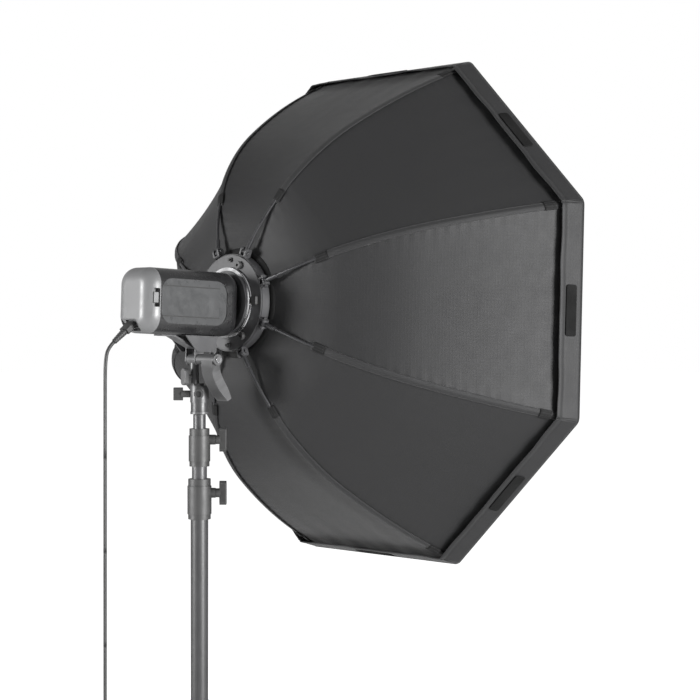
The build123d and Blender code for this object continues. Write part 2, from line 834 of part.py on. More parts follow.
for number, heading in enumerate(leg_headings):
    upright = leg_plane(heading)
    with BuildPart() as leg:
        with BuildSketch(upright):
            with Locations(Location(leg_pivot, leg_angle - 90)):
                with Locations((leg_length / 2, 0)):
                    Rectangle(leg_length - 30, 18)
        extrude(amount=leg_width / 2, both=True)
        with BuildSketch(upright):
            with Locations(leg_pivot):
                Circle(9)
            with Locations(Location(leg_pivot, leg_angle - 90)):
                with Locations((9, 0)):
                    Rectangle(18, 14)
        extrude(amount=leg_width / 2, both=True)
        with BuildSketch(upright):
            with Locations(leg_pivot):
                Circle(3 + running)
        extrude(amount=leg_width, both=True, mode=Mode.SUBTRACT)
        with BuildSketch(upright):
            with Locations(Location(leg_pivot, leg_angle - 90)):
                with Locations((leg_length - 14.9, 0)):
                    RectangleRounded(29.8, 26, 8)
        extrude(amount=12, both=True)
        foot_centre = upright.from_local_coords((*foot_at, 0))
        with Locations(foot_centre):
            Sphere(foot_radius)
        with BuildSketch(Plane(origin=(0, stand_y, 0))):
            Circle(2 * leg_length)
        extrude(amount=-3 * foot_radius, mode=Mode.SUBTRACT)
    save(leg, f"leg_{number + 1}")

    with BuildPart() as strut:
        with BuildSketch(upright):
            with Locations(Location(strut_pivot, strut_slope)):
                with Locations((strut_length / 2, 0)):
                    SlotCenterToCenter(strut_length, 12)
        extrude(amount=11.6, both=True)
        with BuildSketch(upright):
            with Locations(Location(strut_pivot, strut_slope)):
                with Locations((strut_length / 2, 0)):
                    Rectangle(strut_length + 20, 30)
        extrude(amount=8.6, both=True, mode=Mode.SUBTRACT)
        with BuildSketch(upright):
            with Locations(strut_pivot):
                Circle(3)
        extrude(amount=13, both=True)
        for start in (11.6, -14.6):
            with BuildSketch(upright.offset(start)):
                with Locations(strut_joint):
                    Circle(5)
            extrude(amount=3)
    save(strut, f"strut_{number + 1}")

# ---- Power cord ----
cord_bottom = cord_radius + 0.1
upper_split_z = 1140.0
lower_split_z = 480.0
split_gap = 0.4
plug_length = 24.0
relief_length = 32.0
plug_start = inlet.offset(-3.2)
with BuildPart() as cord_plug:
    with BuildSketch(plug_start):
        RectangleRounded(23, 13, 3)
    extrude(amount=plug_length)
    with BuildSketch(plug_start.offset(plug_length)):
        Circle(6.3)
    with BuildSketch(plug_start.offset(plug_length + relief_length)):
        Circle(4.4)
    loft()
save(cord_plug, "cord_plug")

cord_exit = plug_start.offset(plug_length + relief_length).origin
hang_y = cord_exit.Y + 21
hang_x = cord_exit.X
first_bend = cord_exit + inlet_out * 19
cord_top_route = [
    (hang_x, cord_exit.Y, cord_exit.Z),
    (hang_x, first_bend.Y, first_bend.Z),
    (hang_x, cord_exit.Y + 20.4, cord_exit.Z - 38),
    (hang_x, hang_y, upper_split_z),
]
coil_centre = (hang_x - 33.0, hang_y + 177.0)
coil_mean_radius = 38.5
coil_half_width = 7.5
coil_height = 20.6
cord_low_route = [
    (hang_x, hang_y, lower_split_z - split_gap),
    (hang_x, hang_y, 120.0),
    (hang_x + 1, hang_y + 5, 62.0),
    (hang_x + 2, hang_y + 26, 22.0),
    (hang_x + 3, hang_y + 62, cord_bottom),
    (hang_x + 10, hang_y + 108, cord_bottom),
    (hang_x + 9, hang_y + 150, cord_bottom),
]


def cord_tube(route, name):
    """Straight runs joined by arcs as large as the runs beside them allow."""
    points = [Vector(*point) for point in route]
    radii = []
    for before, here, after in zip(points, points[1:], points[2:]):
        turn = radians((here - before).get_angle(after - here))
        shorter = min((here - before).length, (after - here).length)
        radii.append(0.45 * shorter / tan(turn / 2))
    with BuildPart() as cord:
        with BuildLine() as path:
            FilletPolyline(*points, radius=radii)
        with BuildSketch(Plane(origin=path.line @ 0, z_dir=path.line % 0)):
            Circle(cord_radius)
        sweep()
    length = sum(edge.length for edge in path.edges())
    print(name, "radii", [round(r) for r in radii], "length", round(length, 1),
          "volume ratio", round(cord.part.volume / (length * pi * cord_radius**2), 4))
    save(cord, name)


cord_tube(cord_top_route, "cord_upper")
with BuildPart() as hanging:
    with BuildSketch(Plane(origin=(hang_x, hang_y, lower_split_z))):
        Circle(cord_radius)
    extrude(amount=upper_split_z - split_gap - lower_split_z)
save(hanging, "cord_middle")
cord_tube(cord_low_route, "cord_lower")

with BuildPart() as coil:
    with BuildSketch(Plane(origin=(*coil_centre, 0), x_dir=(1, 0, 0), z_dir=(0, -1, 0))):
        with Locations((coil_mean_radius, coil_height / 2 + 0.1)):
            RectangleRounded(2 * coil_half_width, coil_height, 3)
    revolve(axis=Axis((*coil_centre, 0), (0, 0, 1)))
save(coil, "cord_coil")

plug_centre = (coil_centre[0] - 22.0, coil_centre[1] + 64.0)
pin_height = 10.0
with BuildPart() as mains_plug:
    with BuildSketch(Plane(origin=(*plug_centre, 0.1))):
        RectangleRounded(34, 30, 7)
    extrude(amount=20)
    fillet(mains_plug.faces().sort_by(Axis.Z)[-1].edges(), 4)
    for y in (-6.5, 6.5):
        with BuildSketch(Plane(origin=(plug_centre[0] - 16, plug_centre[1] + y, pin_height), z_dir=(-1, 0, 0))):
            RectangleRounded(1.8, 6.6, 0.6)
        extrude(amount=18)
    with BuildSketch(Plane(origin=(plug_centre[0] + 16, plug_centre[1], pin_height), z_dir=(1, 0, 0))):
        Circle(6)
    extrude(amount=14)
save(mains_plug, "mains_plug")
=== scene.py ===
"""Studio softbox on a flash head, bracket and stand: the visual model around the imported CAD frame.

Metres. The light points along -Y and leans a little down; X is across and Z is up from the floor.
"""

import json
import math

import bpy
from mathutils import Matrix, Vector


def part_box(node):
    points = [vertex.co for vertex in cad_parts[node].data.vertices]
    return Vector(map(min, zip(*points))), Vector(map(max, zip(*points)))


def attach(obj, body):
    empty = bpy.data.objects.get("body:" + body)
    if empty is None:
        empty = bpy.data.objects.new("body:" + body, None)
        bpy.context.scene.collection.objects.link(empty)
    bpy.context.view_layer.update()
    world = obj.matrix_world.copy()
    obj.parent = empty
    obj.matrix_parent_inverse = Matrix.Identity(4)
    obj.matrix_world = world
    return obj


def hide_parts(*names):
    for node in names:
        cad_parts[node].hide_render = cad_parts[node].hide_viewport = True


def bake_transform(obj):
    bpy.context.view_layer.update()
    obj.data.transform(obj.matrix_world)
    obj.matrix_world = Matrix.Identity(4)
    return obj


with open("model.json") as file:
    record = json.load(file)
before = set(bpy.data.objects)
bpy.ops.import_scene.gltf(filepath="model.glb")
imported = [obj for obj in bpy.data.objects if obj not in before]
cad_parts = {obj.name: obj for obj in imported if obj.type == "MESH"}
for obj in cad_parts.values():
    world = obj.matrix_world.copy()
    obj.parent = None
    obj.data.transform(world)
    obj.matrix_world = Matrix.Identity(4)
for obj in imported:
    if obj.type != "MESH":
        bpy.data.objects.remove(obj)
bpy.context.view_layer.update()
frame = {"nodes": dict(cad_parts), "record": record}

# ---- Driving dimensions, as in the CAD ----
SIDES = 8
HALF_SIDE = math.radians(180 / SIDES)
PIVOT = Vector((0, 0.161, 1.183))
PIVOT_TO_RIM = 0.552
AXIS_ABOVE_PIVOT = 0.117
AIM_DOWN = math.radians(2.14)
HEAD_DROP = -0.006
ACROSS = Vector((1, 0, 0))
FORWARD = Vector((0, -math.cos(AIM_DOWN), -math.sin(AIM_DOWN)))
UPWARD = Vector((0, -math.sin(AIM_DOWN), math.cos(AIM_DOWN)))
RIM = PIVOT + FORWARD * PIVOT_TO_RIM + UPWARD * AXIS_ABOVE_PIVOT

CANOPY_START = (0.1085, -0.442)
RIB_START = (0.2207, -0.4295)
RIB_HEADING = 24.9
RIB_ARCS = ((0.490, 27.7), (1.340, 11.8))
RIM_FLAT = 0.5335
LIP_DEPTH = 0.049
LIP_FLARE = 0.014
CORD_RADIUS = 0.0035


def place(x, v, w):
    """A point from its place across, above and ahead of the rim's centre."""
    return RIM + ACROSS * x + UPWARD * v + FORWARD * w


def outward(angle):
    return ACROSS * math.cos(angle) + UPWARD * math.sin(angle)


def polar(radius, w, angle, aside=0.0):
    """A point at a radius and angle about the light's axis, moved aside along the anticlockwise direction."""
    return RIM + outward(angle) * radius + outward(angle + math.pi / 2) * aside + FORWARD * w


def rib_angle(number):
    return HALF_SIDE * (1 + 2 * number)


# ---- Camera, floor and light ----
def look_at(thing, target):
    thing.rotation_euler = (Vector(target) - thing.location).to_track_quat("-Z", "Y").to_euler()


def add_camera():
    data = bpy.data.cameras.new("camera")
    camera = bpy.data.objects.new("camera", data)
    camera.location = (-2.7273, 2.4206, 1.2442)
    look_at(camera, camera.location + Vector((0.7114, -0.7028, 0)))
    data.sensor_width = 36
    data.lens = 91.28
    data.shift_y = -0.0306
    data.clip_end = 200
    bpy.context.scene.collection.objects.link(camera)
    bpy.context.scene.camera = camera


def add_light(name, location, target, size, power):
    data = bpy.data.lights.new(name, "AREA")
    data.shape = "SQUARE"
    data.size = size
    data.energy = power
    lamp = bpy.data.objects.new(name, data)
    lamp.location = location
    look_at(lamp, target)
    bpy.context.scene.collection.objects.link(lamp)


def add_stage():
    bpy.context.scene.view_settings.view_transform = "Standard"
    world = bpy.data.worlds.new("studio")
    bpy.context.scene.world = world
    world.use_nodes = True
    nodes, links = world.node_tree.nodes, world.node_tree.links
    background = nodes["Background"]
    background.inputs["Color"].default_value = (1, 1, 1, 1)
    seen = nodes.new("ShaderNodeLightPath")
    level = 0.1
    for ray, strength in (("Is Glossy Ray", 0.4), ("Is Camera Ray", 0.9)):
        step = nodes.new("ShaderNodeMath")
        step.operation = "MULTIPLY_ADD"
        step.inputs[1].default_value = strength
        links.new(seen.outputs[ray], step.inputs[0])
        if isinstance(level, float):
            step.inputs[2].default_value = level
        else:
            links.new(level, step.inputs[2])
        level = step.outputs[0]
    links.new(level, background.inputs["Strength"])
    floor = make_mesh("floor", [(-40, -40, 0), (40, -40, 0), (40, 40, 0), (-40, 40, 0)], [(0, 1, 2, 3)])
    floor.data.materials.append(materials["floor"])
    centre = RIM + FORWARD * -0.2
    add_light("key", (-4.6, -0.5, 1.4), centre, 1.4, 440)
    add_light("back_light", (1.9, 4.2, 1.6), PIVOT, 1.3, 320)


# ---- Mesh helpers ----
def make_mesh(name, points, faces, smooth=True):
    mesh = bpy.data.meshes.new(name)
    mesh.from_pydata([tuple(p) for p in points], [], faces)
    mesh.validate()
    if smooth:
        mesh.shade_smooth()
    piece = bpy.data.objects.new(name, mesh)
    bpy.context.scene.collection.objects.link(piece)
    return piece


def grid_faces(rows, columns, flip=False, closed=False):
    """Quads of a grid whose points are listed row by row; closed joins each row's last point to its first."""
    faces = []
    for i in range(rows - 1):
        for j in range(columns if closed else columns - 1):
            k = (j + 1) % columns
            quad = (i * columns + j, i * columns + k, (i + 1) * columns + k, (i + 1) * columns + j)
            faces.append(quad[::-1] if flip else quad)
    return faces


def set_cloth(piece, values):
    """Stores where each point lies on the flat cloth, in metres, for the weave."""
    attribute = piece.data.attributes.new("cloth", "FLOAT_VECTOR", "POINT")
    attribute.data.foreach_set("vector", [c for value in values for c in (value[0], value[1], 0.0)])


def apply_modifiers(piece):
    graph = bpy.context.evaluated_depsgraph_get()
    mesh = bpy.data.meshes.new_from_object(piece.evaluated_get(graph), depsgraph=graph)
    piece.modifiers.clear()
    piece.data = mesh


def thicken(piece, thickness, lining=0):
    """Gives a sheet its thickness, away from its front; lining is the inner side's material."""
    solid = piece.modifiers.new("thickness", "SOLIDIFY")
    solid.thickness = thickness
    solid.offset = 1
    solid.material_offset = lining
    apply_modifiers(piece)
    piece.data.set_sharp_from_angle(angle=math.radians(50))


def paint(piece, *names):
    for name in names:
        piece.data.materials.append(materials[name])


def follow(piece):
    """Bakes a piece's placement into its mesh, such as half a panel from the panel's middle to the rod at its edge."""
    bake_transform(piece)


def halves():
    return [(number, side) for number in range(SIDES) for side in (1, -1)]


def half_name(stem, number, side):
    return f"{stem}_{number + 1}{'a' if side > 0 else 'b'}"


# ---- Materials ----
materials = {}
SLOT_OF = {
    "fabric": "black_fabric",
    "lining": "black_fabric",
    "webbing": "black_webbing",
    "tape": "black_webbing",
    "stitch": "black_webbing",
    "recess": "head_plastic",
    # Painted shade: a near-black copy of the head plastic for the shadow along the side plate's edges.
    "groove_shade": "head_plastic",
    "hook_loop": "hook_loop",
    "diffuser": "white_diffuser",
    "anodised": "black_anodised",
    "steel": "bright_steel",
    "rod": "rod_steel",
    "head": "head_plastic",
    "plate": "plate_plastic",
    "knob": "knob_plastic",
    "grey": "grey_metal",
    "glass": "clear_glass",
    "rubber": "cord_rubber",
}


class Surface:
    """One material's node tree, with short calls for the nodes that it needs."""

    def __init__(self, name):
        self.material = bpy.data.materials.new(name)
        self.material.use_nodes = True
        self.tree = self.material.node_tree
        self.shader = self.tree.nodes["Principled BSDF"]
        materials[name] = self.material

    def add(self, kind, **values):
        node = self.tree.nodes.new("ShaderNode" + kind)
        for key, value in values.items():
            if key in node.inputs:
                node.inputs[key].default_value = value
            else:
                setattr(node, key, value)
        return node

    def join(self, source, target):
        self.tree.links.new(source, target)

    def set(self, **values):
        for key, value in values.items():
            self.shader.inputs[key.replace("_", " ")].default_value = value

    def noise(self, scale, detail=3.0, stretch=None, coordinates="Object"):
        source = self.add("TexCoord").outputs[coordinates]
        if stretch:
            mapping = self.add("Mapping", Scale=stretch)
            self.join(source, mapping.inputs["Vector"])
            source = mapping.outputs["Vector"]
        node = self.add("TexNoise", Scale=scale, Detail=detail)
        self.join(source, node.inputs["Vector"])
        return node.outputs["Fac"]

    def spread(self, source, low, high, from_low=0.3, from_high=0.7):
        node = self.add("MapRange")
        self.join(source, node.inputs["Value"])
        for key, value in (("From Min", from_low), ("From Max", from_high), ("To Min", low), ("To Max", high)):
            node.inputs[key].default_value = value
        return node.outputs["Result"]

    def math(self, operation, a, b=None):
        node = self.add("Math", operation=operation)
        for index, value in enumerate((a, b)):
            if value is None:
                continue
            if isinstance(value, (int, float)):
                node.inputs[index].default_value = value
            else:
                self.join(value, node.inputs[index])
        return node.outputs[0]

    def tint(self, factor, dark, light):
        node = self.add("Mix", data_type="RGBA")
        self.join(factor, node.inputs[0])
        node.inputs[6].default_value = (*dark, 1)
        node.inputs[7].default_value = (*light, 1)
        self.join(node.outputs[2], self.shader.inputs["Base Color"])
        return node

    def bump(self, height, strength, distance, bevel=0.0):
        node = self.add("Bump", Strength=strength, Distance=distance)
        self.join(height, node.inputs["Height"])
        if bevel:
            edge = self.add("Bevel", samples=4, Radius=bevel)
            self.join(edge.outputs["Normal"], node.inputs["Normal"])
        self.join(node.outputs["Normal"], self.shader.inputs["Normal"])


def shade(colour, factor):
    return tuple(min(1.0, c * factor) for c in colour)


def coated(name, colour, roughness, grain, depth, metallic=0.0, tone=0.15, wear=0.0, bevel=0.0005, **extra):
    """A solid, moulded or coated surface: fine grain, uneven gloss and lighter edges."""
    surface = Surface(name)
    surface.set(Metallic=metallic, **extra)
    cloudy = surface.noise(14)
    mixed = surface.tint(surface.spread(cloudy, 0, 1), shade(colour, 1 - tone), shade(colour, 1 + tone))
    if wear:
        pointed = surface.spread(surface.add("NewGeometry").outputs["Pointiness"], 0, wear, 0.52, 0.6)
        edge = surface.add("Mix", data_type="RGBA")
        surface.join(pointed, edge.inputs[0])
        surface.join(mixed.outputs[2], edge.inputs[6])
        edge.inputs[7].default_value = (*shade(colour, 3.5), 1)
        surface.join(edge.outputs[2], surface.shader.inputs["Base Color"])
    gloss = surface.spread(surface.noise(60, 4), roughness - 0.06, roughness + 0.06)
    surface.join(gloss, surface.shader.inputs["Roughness"])
    surface.bump(surface.noise(grain, 2), 0.35, depth, bevel)


def woven(name, colour, thread, roughness, tone, depth, ripstop=0.0, sheen=0.12):
    """Cloth: crossing threads on the flat cloth's own coordinates, with a heavier thread every few."""
    surface = Surface(name)
    surface.set(Sheen_Weight=sheen, Sheen_Roughness=0.45, Specular_IOR_Level=0.25)
    split = surface.add("SeparateXYZ")
    surface.join(surface.add("Attribute", attribute_name="cloth").outputs["Vector"], split.inputs[0])
    along, across = split.outputs[0], split.outputs[1]
    turns = 2 * math.pi / thread
    waves = [surface.math("SINE", surface.math("MULTIPLY", value, turns)) for value in (along, across)]
    height = surface.math("MULTIPLY", *waves)
    if ripstop:
        for value in (along, across):
            wave = surface.math("COSINE", surface.math("MULTIPLY", value, 2 * math.pi / ripstop))
            ridge = surface.spread(wave, 0, 1.2, 0.86, 1.0)
            height = surface.math("ADD", height, ridge)
    cloudy = surface.noise(5, 2)
    weave_tone = surface.spread(height, -0.25, 0.25, -1, 1)
    surface.tint(surface.math("ADD", surface.spread(cloudy, 0.35, 0.65), weave_tone),
                 shade(colour, 1 - tone), shade(colour, 1 + tone))
    gloss = surface.spread(surface.noise(40, 4), roughness - 0.02, roughness + 0.02)
    surface.join(gloss, surface.shader.inputs["Roughness"])
    surface.bump(height, 0.5, depth)


def make_materials():
    woven("fabric", (0.0105, 0.0105, 0.011), 0.0018, 0.56, 0.14, 0.0001, ripstop=0.0072, sheen=0.08)
    woven("tape", (0.012, 0.012, 0.0125), 0.0016, 0.6, 0.2, 0.0002)
    woven("webbing", (0.005, 0.005, 0.005), 0.0016, 0.8, 0.25, 0.0002, sheen=0.0)
    woven("diffuser", (0.82, 0.82, 0.8), 0.0016, 0.75, 0.03, 0.0001)
    materials["diffuser"].node_tree.nodes["Principled BSDF"].inputs["Subsurface Weight"].default_value = 0.2
    woven("stitch", (0.03, 0.03, 0.032), 0.0008, 0.6, 0.2, 0.0001)
    coated("lining", (0.62, 0.62, 0.63), 0.38, 240, 0.0006, metallic=0.7, bevel=0)
    coated("hook_loop", (0.006, 0.006, 0.006), 0.9, 900, 0.0008, tone=0.35, bevel=0, Specular_IOR_Level=0.15)
    coated("anodised", (0.022, 0.022, 0.023), 0.4, 1400, 0.00008, wear=0.35)
    coated("steel", (0.72, 0.72, 0.73), 0.2, 500, 0.00004, metallic=1.0, tone=0.06)
    coated("rod", (0.03, 0.03, 0.032), 0.3, 800, 0.00003, metallic=0.4)
    coated("head", (0.010, 0.010, 0.0105), 0.3, 1100, 0.00003, tone=0.05, wear=0.03)
    # Painted light: the rear cover is the head's own dark plastic, given a lighter colour here to stand in for the
    # strong light falling on it.
    coated("cover", (0.12, 0.121, 0.123), 0.42, 1100, 0.00012, tone=0.06, wear=0.15)
    coated("plate", (0.03, 0.031, 0.032), 0.34, 700, 0.00004, tone=0.06, Coat_Weight=0.2)
    coated("recess", (0.036, 0.037, 0.038), 0.3, 700, 0.00004, tone=0.06, bevel=0)
    # Painted shade: a near-black copy of the head plastic for the shadow in the gap along the side plate's edges.
    coated("groove_shade", (0.003, 0.003, 0.003), 0.6, 700, 0.00004, bevel=0)
    coated("knob", (0.02, 0.02, 0.02), 0.5, 1000, 0.0001, wear=0.3)
    coated("grey", (0.042, 0.042, 0.043), 0.4, 900, 0.0001, metallic=0.3, wear=0.3)
    coated("rubber", (0.018, 0.018, 0.018), 0.5, 500, 0.0001, bevel=0)
    coated("floor", (0.9, 0.9, 0.9), 0.9, 3, 0.0005, tone=0.005, bevel=0)
    lit = materials["floor"].node_tree
    seen = lit.nodes.new("ShaderNodeLightPath")
    shader = lit.nodes["Principled BSDF"]
    shader.inputs["Emission Color"].default_value = (0.92, 0.92, 0.92, 1)
    lit.links.new(seen.outputs["Is Camera Ray"], shader.inputs["Emission Strength"])
    # The rear cover keeps the head plastic's slot; its lighter colour above is painted light.
    SLOT_OF["cover"] = "head_plastic"
    glass = Surface("glass")
    glass.set(Transmission_Weight=0.9, IOR=1.47)
    gloss = glass.spread(glass.noise(30), 0.04, 0.1)
    glass.join(gloss, glass.shader.inputs["Roughness"])
    glass.tint(glass.noise(5), (0.9, 0.92, 0.93), (0.95, 0.96, 0.97))


def paint_frame():
    """Every CAD node that shows takes its slot's finish; the rear cover and its latch take a lighter copy of the head
    plastic, which is painted light.
    """
    of_slot = {slot: name for name, slot in SLOT_OF.items() if name not in ("lining", "tape", "stitch", "cover", "recess", "groove_shade")}
    # The rear cover and its latch take the lighter, painted-light copy of the head plastic.
    special = {"rear_cover": "cover", "cover_latch": "cover"}
    for subpart in frame["record"]["subparts"]:
        node = frame["nodes"][subpart["node"]]
        name = special.get(subpart["node"], of_slot[subpart["material_slot"]])
        node.data.materials.clear()
        node.data.materials.append(materials[name])


def add_side_recess():
    """The finish of the recess behind the side plate, with flat near-black strips of painted shade along the plate's
    long edges, where the gap between plate and recess lies in shadow.
    """
    x, middle, half_long, half_high, corner = -0.0506, -0.598, 0.083, 0.04375, 0.027
    outline = []
    for index, (sx, sy) in enumerate(((1, 1), (-1, 1), (-1, -1), (1, -1))):
        for step in range(9):
            turn = math.pi / 2 * (index + step / 8)
            outline.append(place(x, HEAD_DROP + sy * (half_high - corner) + corner * math.sin(turn),
                                 middle + sx * (half_long - corner) + corner * math.cos(turn)))
    face = make_mesh("side_recess_face", outline, [tuple(range(len(outline)))], smooth=False)
    paint(face, "recess")
    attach(face, "flash_head")
    # Flat near-black strips laid on the recess: painted shade for the shadow in the gap above and below the plate.
    for name, v in (("upper", 0.0292), ("lower", -0.0292)):
        corners = [place(x - 0.0002, HEAD_DROP + v + dv, w)
                   for dv, w in ((-0.0011, -0.679), (-0.0011, -0.533), (0.0011, -0.533), (0.0011, -0.679))]
        groove_shade = make_mesh(f"side_groove_{name}", corners, [(0, 1, 2, 3)], smooth=False)
        paint(groove_shade, "groove_shade")
        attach(groove_shade, "flash_head")


# ---- Power cord ----
INLET_PITCH = math.radians(41)
INLET_OUT = -FORWARD * math.cos(INLET_PITCH) - UPWARD * math.sin(INLET_PITCH)
INLET_CENTRE = place(0.008, -0.054, -0.706)
PLUG_START = INLET_CENTRE - INLET_OUT * 0.0032
PLUG_LENGTH = 0.024
RELIEF_LENGTH = 0.032
CORD_EXIT = PLUG_START + INLET_OUT * (PLUG_LENGTH + RELIEF_LENGTH)
HANG_X = CORD_EXIT.x
HANG_Y = CORD_EXIT.y + 0.021
CUTS = (1.0, 0.82, 0.64, 0.48)
COIL_CENTRE = Vector((HANG_X - 0.033, HANG_Y + 0.177, 0))


def spline_object(name, points, radius):
    curve = bpy.data.curves.new(name, "CURVE")
    curve.dimensions = "3D"
    spline = curve.splines.new("NURBS")
    spline.points.add(len(points) - 1)
    for control, point in zip(spline.points, points):
        control.co = (*point, 1)
        control.radius = radius
    spline.order_u = 3
    spline.use_endpoint_u = True
    spline.resolution_u = 8
    curve.resolution_u = 8
    piece = bpy.data.objects.new(name, curve)
    bpy.context.scene.collection.objects.link(piece)
    bpy.context.view_layer.update()
    line = bpy.data.meshes.new_from_object(piece)
    path = [vertex.co.copy() for vertex in line.vertices]
    curve.bevel_depth = 1.0
    curve.bevel_resolution = 5
    curve.use_fill_caps = True
    return piece, path


def path_length(path):
    return sum((b - a).length for a, b in zip(path, path[1:]))


def tube(name, path, radius):
    """A stretch of the lead that keeps to one upright plane, as a plain tube mesh."""
    rings, around = len(path), 16
    points = []
    for i, centre in enumerate(path):
        ahead = (path[min(i + 1, rings - 1)] - path[max(i - 1, 0)]).normalized()
        other = ACROSS.cross(ahead)
        for j in range(around):
            turn = 2 * math.pi * j / around
            points.append(centre + (ACROSS * math.cos(turn) + other * math.sin(turn)) * radius)
    faces = grid_faces(rings, around, flip=True, closed=True)
    faces.append(tuple(range(around)))
    faces.append(tuple(range((rings - 1) * around, rings * around))[::-1])
    return make_mesh(name, points, faces)


def add_cords():
    x = HANG_X
    top_route = [
        CORD_EXIT,
        CORD_EXIT + INLET_OUT * 0.019,
        Vector((x, CORD_EXIT.y + 0.0204, CORD_EXIT.z - 0.038)),
        Vector((x, HANG_Y, 1.14)),
        Vector((x, HANG_Y, 1.07)),
        Vector((x, HANG_Y, CUTS[0])),
    ]
    guide, path = spline_object("guide", top_route, CORD_RADIUS)
    bpy.data.objects.remove(guide)
    upper = tube("lead_upper", path, CORD_RADIUS)
    paint(upper, "rubber")
    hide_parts("cord_upper", "cord_middle")
    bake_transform(upper)
    for number in range(3):
        top = Vector((x, HANG_Y, CUTS[number]))
        bottom = Vector((x, HANG_Y, CUTS[number + 1]))
        path = [top.lerp(bottom, i / 23) for i in range(24)]
        piece = tube(f"lead_hanging_{number + 1}", path, CORD_RADIUS)
        paint(piece, "rubber")
        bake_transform(piece)
    floor = CORD_RADIUS + 0.0001
    y = HANG_Y
    low_route = [
        Vector((x, y, CUTS[-1])),
        Vector((x, y, 0.120)),
        Vector((x + 0.001, y + 0.005, 0.062)),
        Vector((x + 0.002, y + 0.026, 0.022)),
        Vector((x + 0.003, y + 0.062, floor)),
        Vector((x + 0.010, y + 0.108, floor)),
        Vector((x + 0.009, y + 0.150, floor)),
    ]
    low_route += coil_points(floor)
    plug_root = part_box("mains_plug")[1].x, (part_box("mains_plug")[0].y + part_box("mains_plug")[1].y) / 2
    low_route += [
        Vector((COIL_CENTRE.x + 0.037, COIL_CENTRE.y + 0.036, 0.0150)),
        Vector((COIL_CENTRE.x + 0.026, COIL_CENTRE.y + 0.056, 0.0115)),
        Vector((COIL_CENTRE.x + 0.016, plug_root[1], 0.0100)),
        Vector((plug_root[0], plug_root[1], 0.0100)),
    ]
    lower, path = spline_object("lead_lower", low_route, CORD_RADIUS)
    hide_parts("cord_lower", "cord_coil")
    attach(lower, "stand_base")
    paint(lower, "rubber")


def coil_points(floor):
    """Six turns in two columns and three layers, wound outer, inner, up and back."""
    pitch = 0.0072
    outer, inner = 0.0420, 0.0420 - pitch
    lanes = [(outer, 0), (inner, 0), (inner, 1), (outer, 1), (outer, 2), (inner, 2), (outer, 2)]
    lift = 0.0069
    per_turn = 14
    start = math.radians(-22)
    turns = 5.9
    points = []
    for i in range(int(turns * per_turn) + 1):
        done = i / per_turn
        lane = int(done)
        share = max(0.0, (done - lane - 0.7) / 0.3)
        radius = lanes[lane][0] + (lanes[lane + 1][0] - lanes[lane][0]) * share
        level = lanes[lane][1] + (lanes[lane + 1][1] - lanes[lane][1]) * share
        turn = start + 2 * math.pi * done
        points.append(COIL_CENTRE + Vector((math.cos(turn) * radius, math.sin(turn) * radius, floor + lift * level)))
    return points


# ---- Softbox fabric ----
def round_crease(points, middle, reach):
    """The same line with its bend at a distance rounded over a reach to each side."""
    near = [i for i, point in enumerate(points) if abs(point[3] - middle) < reach]
    first, last = points[near[0]], points[near[-1]]
    for i in near:
        t = (points[i][3] - first[3]) / (last[3] - first[3])
        a, b, c = (1 - t) ** 2, 2 * t * (1 - t), t * t
        points[i] = tuple(a * p + b * q + c * r for p, q, r in zip(first[:2], RIB_START, last[:2])) + (
            first[2] + (last[2] - first[2]) * t, points[i][3])
    return points


def rib_line(outset=0.0, step=0.005):
    """(radius, w, heading, distance) along the rib's line, from the ring to the rim."""
    points = []
    distance = 0.0
    run = math.hypot(RIB_START[0] - CANOPY_START[0], RIB_START[1] - CANOPY_START[1])
    first_heading = math.atan2(RIB_START[1] - CANOPY_START[1], RIB_START[0] - CANOPY_START[0])
    count = int(run / step)
    for i in range(count):
        share = i / count
        points.append((CANOPY_START[0] + (RIB_START[0] - CANOPY_START[0]) * share,
                       CANOPY_START[1] + (RIB_START[1] - CANOPY_START[1]) * share,
                       first_heading, run * share))
    distance = run
    x, y = RIB_START
    heading = math.radians(RIB_HEADING)
    for radius, turn in RIB_ARCS:
        turn = math.radians(turn)
        count = int(radius * turn / step)
        for i in range(count):
            now = heading + turn * i / count
            points.append((x + radius * (math.sin(now) - math.sin(heading)),
                           y + radius * (math.cos(heading) - math.cos(now)), now, distance + radius * turn * i / count))
        x += radius * (math.sin(heading + turn) - math.sin(heading))
        y += radius * (math.cos(heading) - math.cos(heading + turn))
        heading += turn
        distance += radius * turn
    tail = (-0.001 - y) / math.sin(heading)
    count = int(tail / step)
    for i in range(count + 1):
        share = i / count
        points.append((x + tail * math.cos(heading) * share, y + tail * math.sin(heading) * share, heading,
                       distance + tail * share))
    points = round_crease(points, run, 0.06)
    return [(r + outset * math.sin(h), w - outset * math.cos(h), h, d) for r, w, h, d in points]


RIB = rib_line()
RIB_LENGTH = RIB[-1][3]


def add_gores():
    columns = 26
    sag = 0.011
    for number, side in halves():
        middle = number * 2 * HALF_SIDE
        points, cloth = [], []
        for radius, w, heading, distance in RIB:
            reach = radius * math.sin(HALF_SIDE)
            ends = math.sin(math.pi * distance / RIB_LENGTH) ** 0.8
            for j in range(columns):
                t = 1 - (1 - j / (columns - 1)) ** 1.5
                aside = reach * t
                from_seam = reach - aside
                pucker = 0.0006 * math.exp(-from_seam / 0.014) * math.sin(distance / 0.0038 + number * 1.9)
                pucker *= min(1.0, from_seam / 0.006)
                to_rim = RIB_LENGTH - distance
                pull = 0.0013 * math.exp(-to_rim / 0.09) * math.sin(aside / 0.011 + side * number * 0.8)
                pull *= min(1.0, from_seam / 0.03)
                pull *= min(1.0, aside / 0.02)
                drop = sag * ends * (1 - t * t) + pucker + pull
                x = radius * math.cos(HALF_SIDE) - drop * math.sin(heading)
                points.append(polar(x, w + drop * math.cos(heading), middle, aside * side))
                cloth.append((distance, aside))
        piece = make_mesh(half_name("gore", number, side), points,
                          grid_faces(len(RIB), columns, flip=side < 0))
        set_cloth(piece, cloth)
        paint(piece, "fabric", "lining")
        thicken(piece, 0.0006, lining=1)
        follow(piece)
        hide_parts("canopy_panels")


